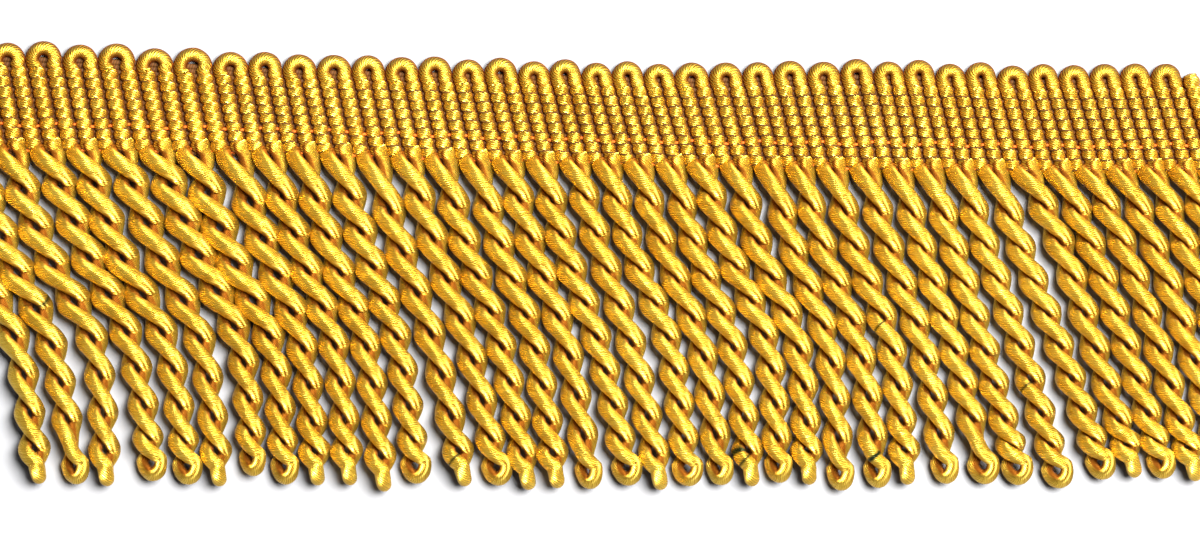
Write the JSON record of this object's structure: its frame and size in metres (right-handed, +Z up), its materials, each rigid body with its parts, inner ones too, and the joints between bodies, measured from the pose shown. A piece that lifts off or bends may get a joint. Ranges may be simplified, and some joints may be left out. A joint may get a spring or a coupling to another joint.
{
  "type": "bullion fringe",
  "caption": "Cut length of gold bullion fringe lying flat, with a ribbed gimp heading, small loops along its top and a skirt of twisted two-ply bullions ending in small loops.",
  "frame": {"origin": "centre of the bounding box in X and Y, on the surface that the fringe lies on", "axes": "+X runs along the fringe to the right, +Y points from the bullion tips to the heading's top loops, +Z points up off the surface, from the back to the face of the fringe"},
  "size_m": [0.1644, 0.0518, 0.0032],
  "materials": {
    "bound_gimp": "lustrous gold rayon gimp bound by rows of thin thread, with orange threads in the grooves",
    "gold_gimp": "lustrous gold rayon floss wrapped closely round a core, twisted in two plies"
  },
  "bodies": {
    "root": {"heading": "bound_gimp", "skirt": "gold_gimp"}
  },
  "joints": []
}
